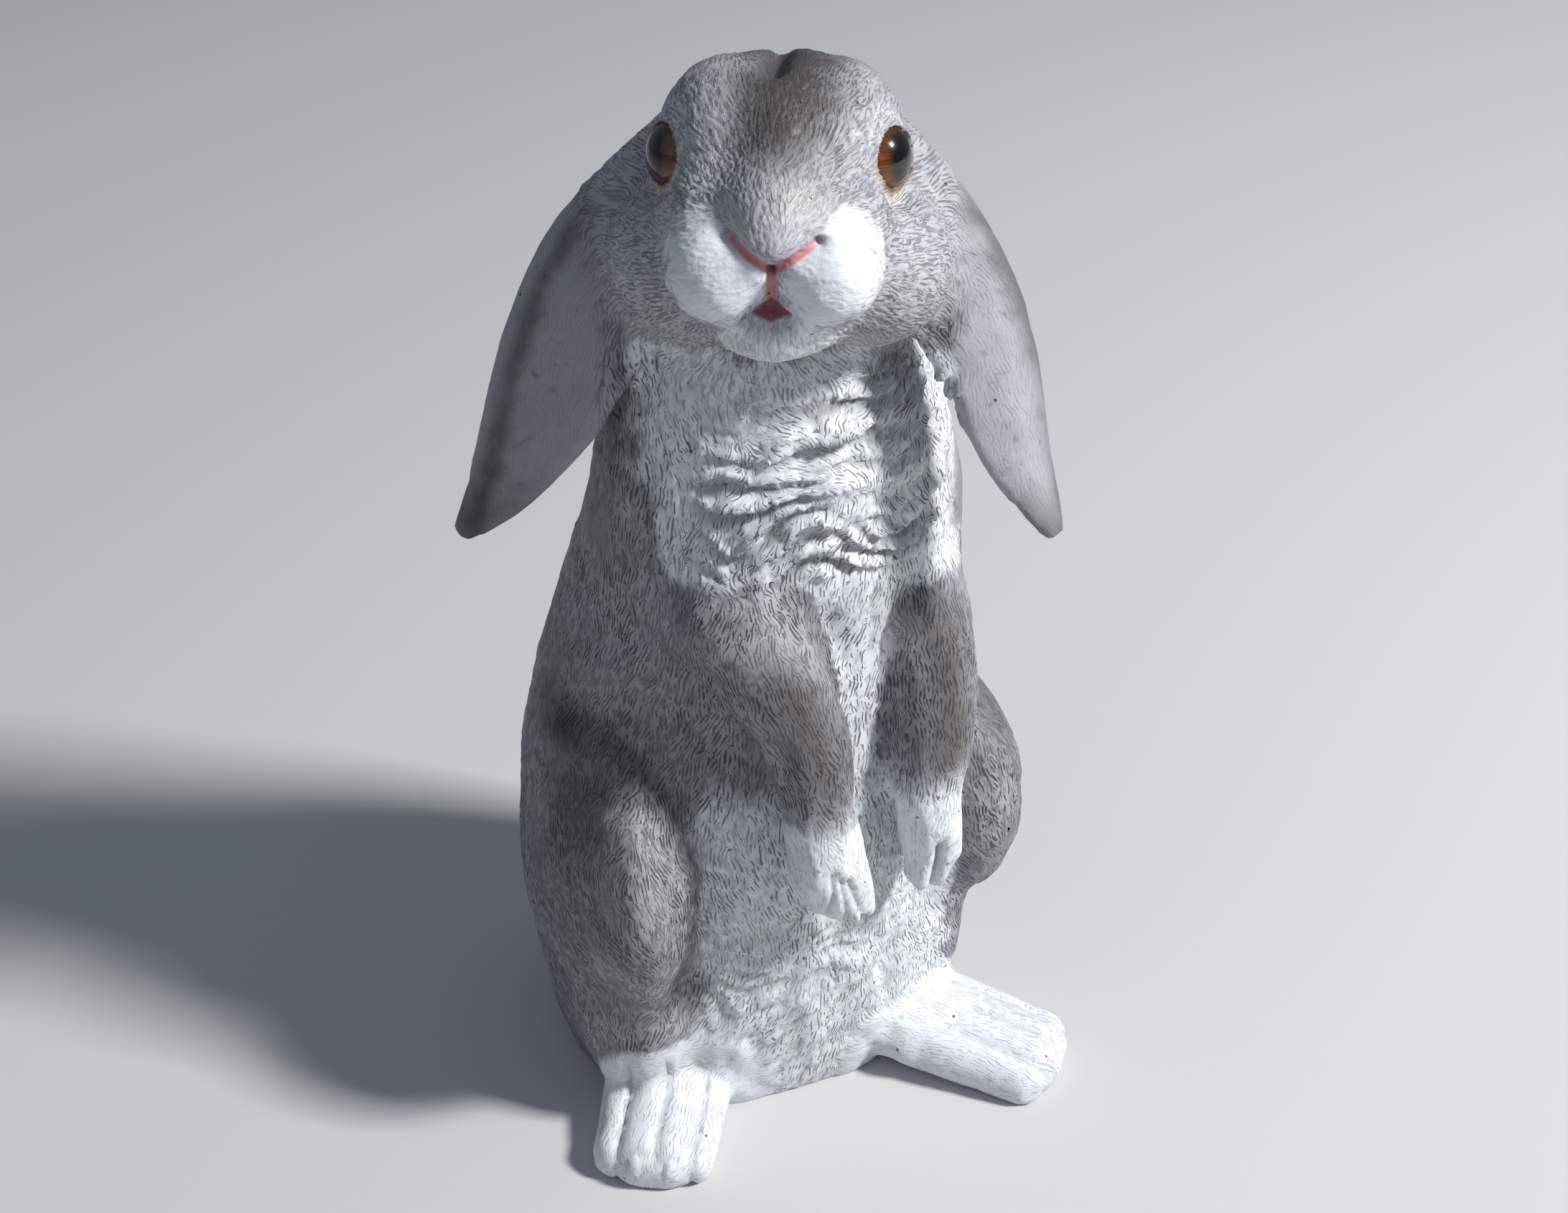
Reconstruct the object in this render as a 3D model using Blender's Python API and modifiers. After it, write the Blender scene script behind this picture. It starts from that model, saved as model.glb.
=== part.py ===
# A garden statue of a lop-eared rabbit sitting up on its hind legs, cast in one piece with two glass
# eyes set into the head. Metres, +Z up, the body faces -Y and the head turns towards its own right, -X.
import math

import bmesh
import bpy
import numpy as np
from mathutils import Euler, Matrix, Vector, noise
from mathutils.bvhtree import BVHTree

# Driving sizes in metres
HEIGHT = 0.400  # ground to the crown of the head
EYE_RADIUS = 0.0115  # the glass ball
EYE_OPENING = 0.0180  # width of the ring of skin that the ball looks out of
EYE_CLEARANCE = 0.0004  # gap between the glass and its socket
EYES = ("glass_eye_right", "glass_eye_left")
EAR_WALL = 0.0075  # thickness of a folded ear's sheet
TRIANGLES = 7400  # budget for the cast body
FINENESS = 3.0  # how much finer its facets are where the carving is closest

# The figure is laid out in units of its own height: one unit is a millimetre at 400 mm
UNIT = HEIGHT / 400

# A hind foot in units: its width, and its heel, instep and toe end as (share of its length, height of
# the middle, half thickness); then the grooves between its toes, as shares of the width
FOOT_WIDTH, FOOT_ROUND = 45, 13
FOOT_STATIONS = ((0.0, 20, 13), (0.5, 13, 13.5), (1.0, 6.5, 12.5))
TOE_GROOVES = (-0.33, -0.04, 0.27)
RIGHT_FOOT = ((-28, 20), (-93, -69))  # heel and toe on the ground
LEFT_FOOT = ((10, -14), (74, -90))

# Fingers of the right paw from knuckle to tip, and of the left paw, with the radius of each
FINGERS = (
    ((-30, -75, 148), (-27, -76, 114), 4.3),
    ((-25, -78, 146), (-20, -78, 113), 4.2),
    ((-21, -79, 147), (-12, -77, 105), 4.4),
    ((-16, -76, 149), (-5, -74, 103), 4.8),
    ((17, -76, 140), (15, -75, 109), 4.4),
    ((24, -75, 140), (23, -74, 107), 5.0),
)

# Forepaws: the wrist's (x, z) and the ends of the grooves between its fingers
PAWS = (
    ((-27, 148), ((-24, 112), (-16, 106), (-8, 101))),
    ((20, 142), ((19, 104), (19, 108))),
)

# Depths of the carving, and how far apart the chest's folds lie, in units
TOE_DEPTH, FINGER_DEPTH, TAIL_DEPTH, LID_HEIGHT = 1.8, 1.6, 2.4, 1.3
FOLD_DEPTH, FOLD_SPACING, BELLY_DEPTH, LOCK_DEPTH = 2.4, 11.5, 2.0, 1.1
FLANK_DEPTH, FLANK_WIDTH = 3.6, 6.5

# The creases where the thighs and the right arm meet the belly
FLANKS = (
    ((-57, -46, 170), (-58, -51, 140), (-57, -53, 120), (-60, -52, 92), (-66, -46, 60)),
    ((49, -40, 150), (46, -46, 120), (44, -48, 90), (43, -44, 62)),
    ((-12, -54, 214), (-6, -58, 190), (-4, -60, 168), (-8, -60, 150)),
)

# Lines pressed into the face, in the head's own frame: path of (x, z), width and depth in units
FACE_LINES = (
    ([(-12.5, 4), (-6.5, -0.5), (0.5, -5.5)], 2.2, 2.6),
    ([(14, 2.5), (7, -1.5), (0.5, -5.5)], 2.2, 2.6),
    ([(0.5, -5.5), (0, -16)], 2.0, 2.4),
    ([(-6.5, -21), (0, -18.5), (5.5, -21)], 2.2, 3.0),
    ([(-3, -22.5), (2.5, -22.5)], 2.6, 2.6),
)

# The edge of a muzzle pad as (x, z) in the head's own frame, mirrored for the other side
PAD_EDGE = ((12, 6), (20, 9), (31, 3), (34, -9), (29, -21), (12, -29))

# The trunk from the ground up: height, centre x and y, half width and half depth of its ellipse
TRUNK = (
    (-24, -8, 13, 70, 56),
    (0, -8, 13, 77, 62),
    (24, -8, 13, 84, 68),
    (60, -9, 14, 87, 72),
    (98, -10, 14, 88, 74),
    (134, -9, 14, 87, 73),
    (172, -6, 15, 80, 68),
    (213, -2, 9, 73, 62),
    (242, -1, 2, 67, 58),
    (270, -4, 0, 62, 53),
    (300, -5, 3, 53, 49),
    (335, -8, 4, 44, 42),
)

# The ears from root to tip, in the head's own frame: the fold's (x, z), the free edge's (x, z), y and
# half the gap inside the fold
RIGHT_EAR = (
    ((-30, 27), (-12, 12), 14, 8),
    ((-51, 9), (-26, -4), 12, 9),
    ((-69, -9), (-34, -22), 10, 10),
    ((-81, -31), (-40, -40), 8, 10),
    ((-89, -54), (-46, -58), 6, 10),
    ((-95, -78), (-57, -76), 4, 9),
    ((-98, -94), (-71, -92), 2, 8),
    ((-102, -107), (-86, -107), 0, 5),
    ((-105, -114), (-102, -115), -1, 3),
)
LEFT_EAR = (
    ((30, 27), (12, 12), 14, 8),
    ((46, 12), (24, -2), 12, 9),
    ((59, -4), (32, -18), 10, 10),
    ((71, -24), (40, -38), 8, 10),
    ((79, -46), (50, -54), 6, 10),
    ((83, -70), (61, -75), 5, 9),
    ((86, -88), (70, -91), 4, 8),
    ((89, -101), (81, -103), 3, 5),
    ((91, -109), (89, -111), 2, 3),
)

# Grain of the clay, in units: the voxel size of each joining pass
COARSE, MIDDLE, FINE = 3.4, 2.6, 2.0

# Where the head sits and how it turns, in units and degrees
HEAD_AT = (-14, -24, 356)
HEAD_PITCH, HEAD_ROLL, HEAD_YAW = -9, 0, -31
TAIL_AT = (-39, 77, 29)
EYE_AT = (-14, 18)  # y and z of the eyes in the head's own frame


def clear_scene():
    for obj in list(bpy.data.objects):
        bpy.data.objects.remove(obj, do_unlink=True)


def head_matrix():
    turn = Euler((math.radians(HEAD_PITCH), math.radians(HEAD_ROLL), math.radians(HEAD_YAW)), "XYZ")
    return Matrix.Translation(Vector(HEAD_AT)) @ turn.to_matrix().to_4x4()


# Clay shapes, in units

def ball(at, radii, turn=(0, 0, 0), frame=Matrix.Identity(4)):
    """An ellipsoid of clay; turn is degrees about X, Y and Z."""
    bpy.ops.mesh.primitive_uv_sphere_add(segments=32, ring_count=18, radius=1)
    obj = bpy.context.object
    angles = Euler([math.radians(a) for a in turn], "XYZ").to_matrix().to_4x4()
    obj.data.transform(frame @ Matrix.Translation(Vector(at)) @ angles @ Matrix.Diagonal((*radii, 1)))
    return obj


def rope(stations, frame=Matrix.Identity(4)):
    """A tapering limb through stations (x, y, z, radius), with round ends."""
    curve = bpy.data.curves.new("rope", "CURVE")
    curve.dimensions = "3D"
    curve.bevel_depth = 1
    curve.bevel_resolution = 5
    curve.use_fill_caps = True
    curve.resolution_u = 6
    spline = curve.splines.new("BEZIER")
    spline.bezier_points.add(len(stations) - 1)
    for point, (x, y, z, radius) in zip(spline.bezier_points, stations):
        point.co = (x, y, z)
        point.radius = radius
        point.handle_left_type = point.handle_right_type = "AUTO"
    obj = bpy.data.objects.new("rope", curve)
    bpy.context.scene.collection.objects.link(obj)
    bpy.context.view_layer.update()
    mesh = bpy.data.meshes.new_from_object(obj.evaluated_get(bpy.context.evaluated_depsgraph_get()))
    bpy.data.objects.remove(obj, do_unlink=True)
    body = bmesh.new()
    body.from_mesh(mesh)
    bmesh.ops.remove_doubles(body, verts=body.verts, dist=0.01)
    bmesh.ops.recalc_face_normals(body, faces=body.faces)
    body.to_mesh(mesh)
    body.free()
    mesh.transform(frame)
    tube = bpy.data.objects.new("rope", mesh)
    bpy.context.scene.collection.objects.link(tube)
    ends = [ball(s[:3], (s[3],) * 3, frame=frame) for s in (stations[0], stations[-1])]
    return [tube, *ends]


def new_collection(name):
    collection = bpy.data.collections.new(name)
    bpy.context.scene.collection.children.link(collection)
    return collection


def move_to(obj, collection):
    for holder in list(obj.users_collection):
        holder.objects.unlink(obj)
    collection.objects.link(obj)


def join(pieces):
    """Puts the pieces into one object."""
    flat = []
    for piece in pieces:
        flat.extend(piece if isinstance(piece, list) else [piece])
    bpy.ops.object.select_all(action="DESELECT")
    for obj in flat:
        obj.select_set(True)
    bpy.context.view_layer.objects.active = flat[0]
    bpy.ops.object.join()
    return bpy.context.object


def apply(obj, kind, **settings):
    modifier = obj.modifiers.new(kind.lower(), kind)
    for name, value in settings.items():
        setattr(modifier, name, value)
    bpy.context.view_layer.objects.active = obj
    bpy.ops.object.modifier_apply(modifier=modifier.name)


def knead(pieces, voxel, passes):
    """Melts pieces into one skin, then smooths the joints between them."""
    obj = join(pieces)
    apply(obj, "REMESH", mode="VOXEL", voxel_size=voxel, adaptivity=0)
    if passes:
        apply(obj, "SMOOTH", factor=0.5, iterations=passes)
    return obj


def loft(stations, sides=32):
    """A closed skin through level ellipses, each station (z, centre x, centre y, half width, half depth)."""
    body = bmesh.new()
    rings = []
    for z, x, y, width, depth in stations:
        angles = [2 * math.pi * k / sides for k in range(sides)]
        rings.append([body.verts.new((x + width * math.cos(a), y + depth * math.sin(a), z)) for a in angles])
    for lower, upper in zip(rings, rings[1:]):
        for k in range(sides):
            after = (k + 1) % sides
            body.faces.new((lower[k], lower[after], upper[after], upper[k]))
    body.faces.new(rings[0])
    body.faces.new(rings[-1])
    bmesh.ops.recalc_face_normals(body, faces=body.faces)
    mesh = bpy.data.meshes.new("loft")
    body.to_mesh(mesh)
    body.free()
    obj = bpy.data.objects.new("loft", mesh)
    bpy.context.scene.collection.objects.link(obj)
    apply(obj, "SUBSURF", levels=2, render_levels=2)
    return obj


def make_haunches():
    right = [
        ball((-74, -4, 98), (29, 49, 58), turn=(14, 0, 0)),
        ball((-79, -23, 106), (18, 37, 45), turn=(8, 0, -6)),
        ball((-72, -16, 44), (22, 30, 40)),
    ]
    left = [
        ball((63, -6, 96), (28, 46, 52), turn=(14, 0, 0)),
        ball((64, -18, 98), (18, 34, 40), turn=(8, 0, 6)),
        ball((48, -14, 42), (20, 28, 36)),
    ]
    return right + left


def make_foot(heel, toe):
    """A hind foot from heel to toe, both (x, y): a broad tapering slab with a round front."""
    heel, toe = Vector(heel), Vector(toe)
    along = toe - heel
    turn = Matrix.Rotation(math.atan2(-along.x, along.y), 4, "Z")
    spread = Matrix.Diagonal((FOOT_WIDTH / 2 / FOOT_ROUND, 1, 1, 1))
    frame = Matrix.Translation(heel.to_3d()) @ turn @ spread
    length = along.length - FOOT_STATIONS[-1][2]
    return rope([(0, share * length, middle, thick) for share, middle, thick in FOOT_STATIONS], frame=frame)


def make_arms():
    right = rope([(-38, -38, 214, 22), (-27, -54, 190, 18.5), (-23, -66, 163, 14.5), (-25, -71, 146, 11.5)])
    right += rope([(-25, -71, 146, 11.5), (-22, -72, 128, 14), (-18, -70, 113, 9)])
    left = rope([(32, -30, 212, 20), (31, -50, 186, 17), (26, -62, 157, 14.5), (21, -68, 142, 12)])
    left += rope([(21, -68, 142, 12), (22, -70, 122, 12), (21, -67, 110, 8)])
    fingers = []
    for knuckle, tip, radius in FINGERS:
        fingers += rope([(*knuckle, radius), (*tip, radius * 0.8)])
    return right + left + fingers


def make_head():
    frame = head_matrix()
    masses = [
        ball((0, 16, 9), (40, 48, 35), frame=frame),
        ball((-16, 2, 18), (23, 36, 27), frame=frame),
        ball((16, 2, 18), (23, 36, 27), frame=frame),
        ball((0, -4, 18), (20, 36, 27), frame=frame),
        ball((0, -33, 4), (20, 31, 22), frame=frame),
        ball((18, -26, 0), (18, 27, 20), frame=frame),
        ball((-18, -26, 0), (18, 27, 20), frame=frame),
        ball((28, -4, -17), (27, 34, 27), frame=frame),
        ball((-28, -4, -17), (27, 34, 27), frame=frame),
        ball((0, -26, -24), (26, 27, 18), frame=frame),
    ]
    skull = knead(masses, MIDDLE, 8)
    pads = [
        ball((16.5, -44, -9), (17, 19, 18), frame=frame),
        ball((-16.5, -44, -9), (17, 19, 18), frame=frame),
        ball((0, -53, 1), (13, 12, 11), frame=frame),
        ball((0, -40, -28), (15, 15, 11), frame=frame),
    ]
    return [knead([skull, *pads], FINE, 3)]


def ear_sheet(stations, frame, wall):
    """A folded leaf with its opening towards the head."""
    steps = 18
    mesh = bpy.data.meshes.new("ear")
    body = bmesh.new()
    rows = []
    for fold, edge, depth, gap in stations:
        row = []
        for k in range(steps + 1):
            angle = math.pi * k / steps
            reach = math.sin(angle)
            x = edge[0] + (fold[0] - edge[0]) * reach
            z = edge[1] + (fold[1] - edge[1]) * reach
            row.append(body.verts.new(frame @ Vector((x, depth - gap * math.cos(angle), z))))
        rows.append(row)
    for lower, upper in zip(rows, rows[1:]):
        for k in range(steps):
            body.faces.new((lower[k], lower[k + 1], upper[k + 1], upper[k]))
    body.to_mesh(mesh)
    body.free()
    obj = bpy.data.objects.new("ear", mesh)
    bpy.context.scene.collection.objects.link(obj)
    apply(obj, "SUBSURF", levels=1, render_levels=1)
    apply(obj, "SOLIDIFY", thickness=wall, offset=0)
    return obj


def make_ears():
    return [ear_sheet(rows, head_matrix(), EAR_WALL / UNIT) for rows in (RIGHT_EAR, LEFT_EAR)]


def make_tail():
    return [ball(TAIL_AT, (27, 27, 27)), ball(TAIL_AT, (23, 25, 31), turn=(20, 0, 0))]


# Tools that push the skin in and out, all in units

def skin_of(obj):
    points = np.empty(len(obj.data.vertices) * 3, np.float32)
    normals = np.empty_like(points)
    obj.data.vertices.foreach_get("co", points)
    obj.data.vertices.foreach_get("normal", normals)
    return points.reshape(-1, 3).astype(float), normals.reshape(-1, 3).astype(float)


def put_skin(obj, points):
    obj.data.vertices.foreach_set("co", points.astype(np.float32).ravel())
    obj.data.update()


def bell(distance, width):
    return np.exp(-(distance / width) ** 2)


def ramp(low, high, values):
    """0 at low rising smoothly to 1 at high; falling where low is above high."""
    share = np.clip((values - low) / (high - low), 0, 1)
    return share * share * (3 - 2 * share)


def path_distance(flat, path):
    """Distance in a plane from each point to a polyline."""
    best = np.full(len(flat), 1e9)
    for start, end in zip(path, path[1:]):
        start, end = np.array(start, float), np.array(end, float)
        along = end - start
        share = np.clip((flat - start) @ along / (along @ along), 0, 1)
        best = np.minimum(best, np.linalg.norm(flat - start - share[:, None] * along, axis=1))
    return best


def head_local(points):
    back = np.array(head_matrix().inverted())
    return points @ back[:3, :3].T + back[:3, 3]


def face_relief(points):
    """How far nose, lips, mouth and crown are pressed in, towards the back of the head or down."""
    local = head_local(points)
    flat = local[:, [0, 2]]
    front = ramp(-34, -42, local[:, 1])
    back = np.zeros(len(points))
    for path, width, depth in FACE_LINES:
        back += depth * front * bell(path_distance(flat, path), width)
    for side in (-1, 1):
        pad = [(side * x, z) for x, z in PAD_EDGE]
        back += 1.8 * ramp(-12, -24, local[:, 1]) * bell(path_distance(flat, pad), 4.5)
    down = 3.4 * ramp(30, 36, local[:, 2]) * bell(path_distance(local[:, :2], [(-2, -12), (-1, 24)]), 4.0)
    turn = np.array(head_matrix().to_3x3())
    return back[:, None] * turn[:, 1] - down[:, None] * turn[:, 2]


def toe_relief(points):
    """Grooves between the toes of the hind feet."""
    height = np.zeros(len(points))
    low = ramp(40, 30, points[:, 2])
    for heel, toe in (RIGHT_FOOT, LEFT_FOOT):
        heel, toe = np.array(heel, float), np.array(toe, float)
        along = (toe - heel) / np.linalg.norm(toe - heel)
        across = np.array((along[1], -along[0]))
        for share in TOE_GROOVES:
            middle = toe + across * (share * FOOT_WIDTH)
            path = [middle + along * 6, middle - along * 38]
            height -= TOE_DEPTH * low * bell(path_distance(points[:, :2], path), 2.4)
    return height


def paw_relief(points):
    """Grooves between the fingers of both forepaws."""
    front = ramp(-58, -66, points[:, 1]) * ramp(150, 144, points[:, 2])
    flat = points[:, [0, 2]]
    height = np.zeros(len(points))
    for wrist, tips in PAWS:
        for tip in tips:
            path = [(wrist[0] * 0.6 + tip[0] * 0.4, wrist[1] * 0.6 + tip[1] * 0.4), tip]
            height -= FINGER_DEPTH * front * bell(path_distance(flat, path), 1.8)
    return height


def fur_relief(points):
    """Wavy folds across the chest and coarse locks over the coat."""
    x, y, z = points.T
    local = head_local(points)
    sway = np.array([noise.noise(Vector(p) * 0.032) for p in points])
    drift = points * (0.15, 0.15, 0.05) + sway[:, None] * (0.9, 0.9, 2.2)
    locks = np.array([noise.noise(Vector(p)) for p in drift])
    breaks = np.array([noise.noise(Vector((p[0] * 0.06, 7.0, p[2] * 0.06))) for p in points])
    chest = ramp(-34, -50, y) * ramp(236, 248, z) * ramp(300, 288, z) * ramp(52, 34, np.abs(x + 4))
    wave = np.sin((z + 14 * sway + 5 * np.sin(x / 11)) * 2 * math.pi / FOLD_SPACING)
    folds = wave * np.clip(0.75 + 1.6 * breaks, 0, 1.2)
    belly = ramp(-30, -45, y) * ramp(112, 90, z) * ramp(2, 12, z) * ramp(46, 30, np.abs(x + 12))
    head = ramp(66, 56, np.linalg.norm(local - np.array((0, -8, 0)), axis=1))
    ears = ramp(54, 62, np.abs(local[:, 0])) * ramp(-130, -120, local[:, 2]) * ramp(60, 40, local[:, 2])
    ears = ears * ramp(62, 74, np.linalg.norm(points[:, :2] - np.array((-4, 4)), axis=1))
    feet = ramp(34, 26, z) * ramp(-30, -44, y)
    coat = (1 - head) * (1 - ears) * (1 - feet) * ramp(1, 8, z)
    return (1 - ears) * (FOLD_DEPTH * chest * folds + (BELLY_DEPTH * belly + LOCK_DEPTH * coat) * locks)


def flank_relief(points):
    """Creases beside the thighs and the right arm."""
    height = np.zeros(len(points))
    for path in FLANKS:
        height -= FLANK_DEPTH * bell(path_distance(points, path), FLANK_WIDTH)
    return height


def tail_relief(points):
    """A crease where the tail leaves the rump."""
    away = np.linalg.norm(points - np.array(TAIL_AT), axis=1)
    return -TAIL_DEPTH * bell(away - 31, 4.5) * ramp(2, 10, points[:, 2])


def lid_relief(points, spots):
    """A raised rim of lid round each eye."""
    height = np.zeros(len(points))
    for centre, skin in spots:
        away = np.linalg.norm(points - np.array(skin), axis=1)
        height += LID_HEIGHT * bell(away - 11.0, 2.6) * ramp(20, 14, away)
    return height


def carve(obj, spots):
    points, normals = skin_of(obj)
    height = toe_relief(points) + paw_relief(points) + tail_relief(points) + flank_relief(points)
    height += fur_relief(points) + lid_relief(points, spots)
    put_skin(obj, points + face_relief(points) + normals * height[:, None])


def thin_out(obj, triangles):
    """Fewer, larger facets, kept finest on the face, then on the chest, paws and feet."""
    points, _ = skin_of(obj)
    local = head_local(points)
    face = ramp(64, 50, np.linalg.norm(local - np.array((0, -30, -4)), axis=1))
    face = face * ramp(54, 50, np.abs(local[:, 0]))
    front = ramp(-40, -55, points[:, 1])
    weights = np.round(1 - 0.45 * front * (1 - face) - 0.8 * face, 1)
    group = obj.vertex_groups.new(name="coarse")
    for weight in np.unique(weights):
        group.add(np.flatnonzero(weights == weight).tolist(), float(weight), "REPLACE")
    count = sum(len(polygon.vertices) - 2 for polygon in obj.data.polygons)
    apply(obj, "DECIMATE", ratio=triangles / count, vertex_group="coarse", vertex_group_factor=FINENESS)
    obj.vertex_groups.clear()


def eye_spots(obj):
    """The centre of each glass ball and the skin point above it, found by probing the head from its sides."""
    tree = BVHTree.FromObject(obj, bpy.context.evaluated_depsgraph_get())
    frame = head_matrix()
    sink = math.sqrt(EYE_RADIUS ** 2 - EYE_OPENING ** 2 / 4) / UNIT
    spots = []
    for side in (-1, 1):
        inwards = frame.to_3x3() @ Vector((-side, 0.42, -0.12)).normalized()
        start = frame @ Vector((side * 32, EYE_AT[0], EYE_AT[1])) - inwards * 80
        skin = tree.ray_cast(start, inwards)[0]
        spots.append((skin + inwards * sink, skin))
    return spots


def set_eyes(body, centres, statue, cutters):
    """Cuts a socket for each eye and puts its glass ball in it."""
    for name, centre in zip(EYES, centres):
        balls = []
        for radius in (EYE_RADIUS, EYE_RADIUS + EYE_CLEARANCE):
            bpy.ops.mesh.primitive_uv_sphere_add(segments=24, ring_count=14, radius=radius)
            glass = bpy.context.object
            glass.data.transform(Matrix.Translation(centre))
            balls.append(glass)
        balls[0].name = balls[0].data.name = name
        move_to(balls[0], statue)
        socket = balls[1]
        socket.name = name + "_socket"
        move_to(socket, cutters)
        apply(body, "BOOLEAN", object=socket, operation="DIFFERENCE", solver="EXACT")
        socket.hide_render = True
        socket.display_type = "WIRE"


def finish(obj):
    """Scales the figure to its real size, centres it over the origin and cuts it flat at the ground."""
    points, _ = skin_of(obj)
    middle = (points.min(axis=0) + points.max(axis=0)) / 2
    place = Matrix.Scale(UNIT, 4) @ Matrix.Translation((-middle[0], -middle[1], 0))
    obj.data.transform(place)
    body = bmesh.new()
    body.from_mesh(obj.data)
    cut = bmesh.ops.bisect_plane(
        body, geom=body.verts[:] + body.edges[:] + body.faces[:], dist=1e-7,
        plane_co=(0, 0, 0), plane_no=(0, 0, -1), clear_outer=True,
    )
    edges = [e for e in cut["geom_cut"] if isinstance(e, bmesh.types.BMEdge)]
    bmesh.ops.holes_fill(body, edges=edges, sides=0)
    bmesh.ops.recalc_face_normals(body, faces=body.faces)
    body.to_mesh(obj.data)
    body.free()
    return place


def give_material(obj, name, colour, roughness):
    material = bpy.data.materials.get(name) or bpy.data.materials.new(name)
    material.use_nodes = True
    shader = material.node_tree.nodes["Principled BSDF"]
    parts = [int(colour[k:k + 2], 16) / 255 for k in (1, 3, 5)]
    linear = [c / 12.92 if c <= 0.04045 else ((c + 0.055) / 1.055) ** 2.4 for c in parts]
    shader.inputs["Base Color"].default_value = (*linear, 1)
    shader.inputs["Roughness"].default_value = roughness
    shader.inputs["Metallic"].default_value = 0
    obj.data.materials.clear()
    obj.data.materials.append(material)


def main():
    clear_scene()
    body = knead([loft(TRUNK), *make_haunches(), *make_tail()], COARSE, 8)
    body = knead([body, *make_head()], MIDDLE, 3)
    body = knead([body, *make_arms(), *make_foot(*RIGHT_FOOT), *make_foot(*LEFT_FOOT)], FINE, 2)
    spots = eye_spots(body)
    body = knead([body, *make_ears()], FINE, 2)
    carve(body, spots)
    thin_out(body, TRIANGLES)
    place = finish(body)
    body.name = body.data.name = "rabbit_casting"
    statue = new_collection("rabbit_garden_statue")
    move_to(body, statue)
    centres = [place @ centre for centre, _ in spots]
    set_eyes(body, centres, statue, new_collection("cutters"))
    give_material(body, "painted_resin", "#A9A9AC", 0.6)
    for name in EYES:
        give_material(bpy.data.objects[name], "eye_glass", "#5A3212", 0.05)


main()
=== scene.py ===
import math

import bpy
import numpy as np
from mathutils import Euler, Matrix, Vector


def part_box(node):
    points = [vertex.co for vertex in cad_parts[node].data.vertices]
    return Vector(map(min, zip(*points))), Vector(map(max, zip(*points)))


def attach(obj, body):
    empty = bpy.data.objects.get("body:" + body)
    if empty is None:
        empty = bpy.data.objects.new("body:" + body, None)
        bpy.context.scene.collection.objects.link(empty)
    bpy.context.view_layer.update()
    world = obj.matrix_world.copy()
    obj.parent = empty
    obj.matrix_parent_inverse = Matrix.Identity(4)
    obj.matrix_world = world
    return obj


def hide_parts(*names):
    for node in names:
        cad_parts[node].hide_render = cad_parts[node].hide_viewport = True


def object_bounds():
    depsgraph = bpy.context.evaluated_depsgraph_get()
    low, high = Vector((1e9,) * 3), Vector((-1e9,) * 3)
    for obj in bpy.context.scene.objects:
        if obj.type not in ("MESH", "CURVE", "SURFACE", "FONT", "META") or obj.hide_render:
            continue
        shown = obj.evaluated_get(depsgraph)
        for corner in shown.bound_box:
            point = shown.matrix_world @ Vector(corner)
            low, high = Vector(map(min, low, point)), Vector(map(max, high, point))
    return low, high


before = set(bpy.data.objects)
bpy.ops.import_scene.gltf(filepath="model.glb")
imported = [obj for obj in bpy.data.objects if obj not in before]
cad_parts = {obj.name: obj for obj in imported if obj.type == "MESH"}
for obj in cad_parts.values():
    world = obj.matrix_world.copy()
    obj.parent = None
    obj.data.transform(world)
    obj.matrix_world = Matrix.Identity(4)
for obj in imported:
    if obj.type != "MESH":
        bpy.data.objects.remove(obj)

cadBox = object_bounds()

# The figure's own millimetres: the ground is z 0 and the trunk's middle is near x 0, y 0
rightEyeAt = (-43.78, -17.51)
eyeLow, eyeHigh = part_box("glass_eye_right")
figureShift = np.array((*(np.array(eyeLow + eyeHigh)[:2] * 500 - rightEyeAt), 0))
headAt = (-14, -24, 356)
headTurn = Euler((math.radians(-9), 0, math.radians(-31)), "XYZ").to_matrix().to_4x4()
headPlace = Matrix.Translation(Vector(headAt)) @ headTurn
eyeNames = {"glass_eye_right": -1, "glass_eye_left": 1}


def deselectAll():
    bpy.ops.object.select_all(action="DESELECT")


def pickOnly(obj):
    deselectAll()
    obj.select_set(True)
    bpy.context.view_layer.objects.active = obj


def applyModifier(obj, kind, **settings):
    pickOnly(obj)
    modifier = obj.modifiers.new(kind.title(), kind)
    for name, value in settings.items():
        setattr(modifier, name, value)
    bpy.ops.object.modifier_apply(modifier=modifier.name)


def readSkin(obj):
    count = len(obj.data.vertices)
    points = np.empty(count * 3, np.float32)
    normals = np.empty(count * 3, np.float32)
    obj.data.vertices.foreach_get("co", points)
    obj.data.vertices.foreach_get("normal", normals)
    points = points.reshape(-1, 3).astype(float) * 1000 - figureShift
    return points, normals.reshape(-1, 3).astype(float)


def writeSkin(obj, points):
    obj.data.vertices.foreach_set("co", ((points + figureShift) / 1000).astype(np.float32).ravel())
    obj.data.update()


def ramp(low, high, values):
    share = np.clip((values - low) / (high - low), 0, 1)
    return share * share * (3 - 2 * share)


def bell(distance, width):
    return np.exp(-(distance / width) ** 2)


def unit(vectors):
    return vectors / np.maximum(np.linalg.norm(vectors, axis=-1, keepdims=True), 1e-9)


def pathDistance(flat, path):
    best = np.full(len(flat), 1e9)
    for start, end in zip(path, path[1:]):
        start, end = np.array(start, float), np.array(end, float)
        line = end - start
        share = np.clip((flat - start) @ line / (line @ line), 0, 1)
        best = np.minimum(best, np.linalg.norm(flat - start - share[:, None] * line, axis=1))
    return best


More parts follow.
